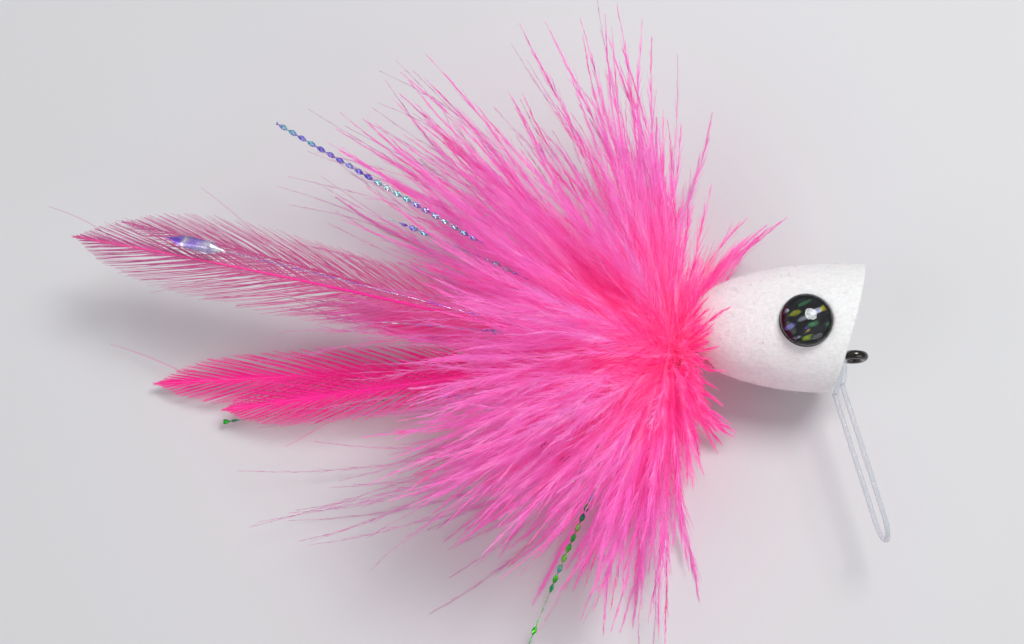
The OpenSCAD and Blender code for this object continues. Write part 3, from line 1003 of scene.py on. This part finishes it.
def plainSkin(name, colour, roughness, grain, depth, metallic=0.0, coat=0.0):
    skin = Skin(name)
    rough = skin.noise(skin.place(), grain, 3.0)
    base = skin.blend(rough * 0.5, colour, tuple(channel * 0.72 for channel in colour))
    return skin.surface(skin.principled(Base_Color=base, Metallic=metallic, Coat_Weight=coat,
                                        Roughness=roughness * 0.8 + rough * roughness * 0.4,
                                        Normal=skin.bump(rough, depth, 0.5)))


nickel = plainSkin("blackNickel", (0.055, 0.048, 0.043), 0.2, 3000.0, 0.00001, metallic=1.0, coat=0.5)
padBlack = plainSkin("eyePad", (0.006, 0.006, 0.006), 0.6, 2500.0, 0.00002)
cement = plainSkin("shankCement", paint(228, 96, 150), 0.3, 1500.0, 0.00004, coat=0.6)
quill = plainSkin("woundQuill", tones["quill"], 0.45, 2200.0, 0.00003)
whiteThread = plainSkin("whiteThread", (0.72, 0.71, 0.68), 0.5, 6000.0, 0.00002, coat=0.3)
pinkThread = plainSkin("pinkThread", tones["core"], 0.45, 6000.0, 0.00002, coat=0.3)
for node, skin in (("right_eye_pad", padBlack), ("left_eye_pad", padBlack), ("shank_cement", cement),
                   ("front_quill_wrap", quill), ("rear_quill_wrap", quill), ("tail_stem_butts", quill)):
    paintNode(node, skin)


def lineSkin():
    skin = Skin("clearLine")
    clear = skin.node("ShaderNodeBsdfTransparent", None, {"Color": (0.86, 0.88, 0.9, 1)})
    cloud = skin.noise(skin.place(), 900.0, 2.0)
    body = skin.principled(Base_Color=(0.82, 0.84, 0.87), Roughness=0.08 + cloud * 0.12, Coat_Weight=1.0)
    edge = skin.node("ShaderNodeLayerWeight", None, {"Blend": 0.35}, out=1)
    return skin.surface(skin.mixed(0.14 + edge * 0.6, clear, body))


hook = {
    "wire": 0.45 * mm,       # radius
    "point": 6.4 * mm,       # length of the leg that ends in the point
    "barb": 0.2 * mm,        # radius of the barb at its root
    "barbPlace": 0.62,       # how far along that leg the barb is cut
}
hookLow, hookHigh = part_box("hook")
hook["ring"] = hookHigh.x - hook["wire"]
hook["gap"] = -hookLow.y - hook["wire"]
hook["shank"] = -hookLow.x - hook["gap"] / 2 - hook["wire"]
clearLine = lineSkin()


def arc(centre, radius, first, last, count, plane="xy"):
    angles = np.radians(np.linspace(first, last, count))
    flat = np.stack([np.cos(angles), np.sin(angles), np.zeros(count)], axis=1) * radius
    if plane == "xz":
        flat = flat[:, [0, 2, 1]]
    return np.asarray(centre) + flat


def makeHook():
    bend = hook["gap"] / 2
    ring = arc((0, 0, 0), hook["ring"], 180, -176, 44, "xz")
    shank = np.linspace((-hook["shank"], 0, 0), (-hook["ring"], 0, 0), 24)
    curve = arc((-hook["shank"], -bend, 0), bend, 270, 90, 34)
    point = np.linspace((hook["point"] - hook["shank"], -hook["gap"], 0), (-hook["shank"], -hook["gap"], 0),
                        16)
    path = np.concatenate([point, curve[1:], shank[1:]])
    taper = np.interp(np.arange(len(path)), [0, 3, 8, 12], [0.06, 0.55, 0.95, 1])
    strands = [(path, hook["wire"] * taper), (ring, np.full(len(ring), hook["wire"]))]
    barbRoot = np.array([-hook["shank"] + hook["point"] * hook["barbPlace"], -hook["gap"] + 0.25 * mm, 0])
    barbLine = np.array([barbRoot + (1.5 * mm, 0, 0), barbRoot, barbRoot + (-0.7 * mm, 0.62 * mm, 0)])
    strands.append((barbLine, hook["barb"] * np.array([0.9, 1, 0.12])))
    mesh = sweptMesh("hook_wire", strands, sides=14)
    addMesh("hook_wire", mesh, nickel, "lure", ["hook"])


bindings = {                 # radii are those of the band along its length, in mm, from the tail forward
    "tail_thread": {"pitch": 0.15 * mm, "thread": 0.09 * mm, "radii": (2.25, 2.37, 2.2, 1.7, 1.05)},
    "collar_thread": {"pitch": 0.15 * mm, "thread": 0.08 * mm, "radii": (1.38, 1.42, 1.38)},
    "guard_thread": {"pitch": 0.13 * mm, "thread": 0.07 * mm, "radii": (1.3, 1.53, 1.53, 1.3)},
}


def windings(name, skin):
    # thread wound round a band, just over the solid that is under it
    pitch, thread = bindings[name]["pitch"], bindings[name]["thread"]
    radii = [radius * mm for radius in bindings[name]["radii"]]
    low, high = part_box(name + "_band")
    length = high.x - low.x
    turns = length / pitch
    count = int(turns * 18)
    t = np.linspace(0, 1, count)
    radius = np.interp(t, np.linspace(0, 1, len(radii)), radii) - thread
    angle = t * turns * 2 * math.pi
    middle = (low + high) / 2
    path = np.stack([low.x + thread + t * (length - 2 * thread), middle.y + radius * np.cos(angle),
                     middle.z + radius * np.sin(angle)], axis=1)
    addMesh(name, sweptMesh(name, [(path, np.full(count, thread))], sides=6), skin, "lure")


makeHook()
windings("tail_thread", pinkThread)
windings("collar_thread", pinkThread)
windings("guard_thread", whiteThread)
for node, skin in (("tail_thread_band", pinkThread), ("collar_thread_band", pinkThread),
                   ("guard_thread_band", whiteThread), ("shank_thread", whiteThread)):
    paintNode(node, skin)


guard = {"radius": 0.275 * mm, "tuck": 0.35 * mm, "points": 24}    # tuck: how far it starts inside its legs


def makeGuard():
    low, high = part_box("weed_guard_loop")
    flex = np.array(joints["weed_guard"]["pos_m"])
    radius = guard["radius"]
    halfGap = (high.z - low.z) / 2 - radius
    end = np.array([high.x - radius, low.y + radius, 0])
    way = unit(end - flex)
    reach = np.linalg.norm(end - flex)
    across = np.array([0, 0, 1.0])
    straight = reach - halfGap
    legs = []
    for side in (1, -1):
        t = np.linspace(-guard["tuck"] / straight, 1, guard["points"])[:, None]
        legs.append(flex + way * straight * t + across * side * halfGap)
    angles = np.linspace(0, math.pi, guard["points"])[1:-1, None]
    bow = flex + way * (straight + halfGap * np.sin(angles)) + across * halfGap * np.cos(angles)
    path = np.concatenate([legs[0], bow, legs[1][::-1]])
    mesh = sweptMesh("guard_line", [(path, np.full(len(path), radius))], sides=14)
    addMesh("guard_line", mesh, clearLine, "weed_guard", ["weed_guard_loop"])
    paintNode("weed_guard_butts", clearLine)


makeGuard()
print("hook, thread and weed guard made")


stage = {
    "floorSize": 3.0,
    "floorDrop": 0.02 * mm,
    "floorTone": (0.66, 0.66, 0.67),
    "aim": (-0.03, 0.0, 0.0),
    "lamps": {               # place, width and power
        "key": ((0.07, 0.11, 0.30), 0.14, 0.72),
        "fill": ((-0.30, -0.12, 0.26), 0.3, 0.28),
        "rim": ((0.16, -0.22, 0.14), 0.2, 0.16),
    },
    "sky": (0.86, 0.88, 0.92, 1),
    "skyStrength": 0.4,
    "lens": 66.8,
    "distance": 190 * mm,
    "elevation": 75,
    "cameraAim": Vector((-0.0340, 0.0036, 0.0)),
}


def makeStage():
    ground = bmesh.new()
    bmesh.ops.create_grid(ground, x_segments=1, y_segments=1, size=stage["floorSize"])
    bmesh.ops.translate(ground, vec=(0, 0, benchZ - stage["floorDrop"]), verts=ground.verts)
    mesh = bpy.data.meshes.new("floor")
    ground.to_mesh(mesh)
    ground.free()
    floor = bpy.data.objects.new("floor", mesh)
    bpy.context.scene.collection.objects.link(floor)
    skin = Skin("paleFloor")
    mesh.materials.append(skin.surface(skin.principled(Base_Color=stage["floorTone"], Roughness=0.7)))


def areaLight(name, place, size, power):
    data = bpy.data.lights.new(name, "AREA")
    data.shape = "DISK"
    data.size = size
    data.energy = power
    lamp = bpy.data.objects.new(name, data)
    lamp.location = place
    lamp.rotation_euler = (Vector(stage["aim"]) - Vector(place)).to_track_quat("-Z", "Y").to_euler()
    bpy.context.scene.collection.objects.link(lamp)


def makeCamera():
    data = bpy.data.cameras.new("camera")
    data.lens = stage["lens"]
    data.sensor_width = 36
    data.clip_start = 0.005
    data.clip_end = 20
    rise = math.radians(stage["elevation"])
    away = Vector((0, -math.cos(rise), math.sin(rise)))
    camera = bpy.data.objects.new("camera", data)
    camera.location = stage["cameraAim"] + away * stage["distance"]
    camera.rotation_euler = (-away).to_track_quat("-Z", "Y").to_euler()
    bpy.context.scene.collection.objects.link(camera)
    bpy.context.scene.camera = camera


makeStage()
for name, (place, size, power) in stage["lamps"].items():
    areaLight(name, place, size, power)
world = bpy.data.worlds.new("studio")
bpy.context.scene.world = world
world.use_nodes = True
world.node_tree.nodes["Background"].inputs[0].default_value = stage["sky"]
world.node_tree.nodes["Background"].inputs[1].default_value = stage["skyStrength"]
makeCamera()

bpy.context.scene.view_settings.view_transform = "Standard"

print("done")
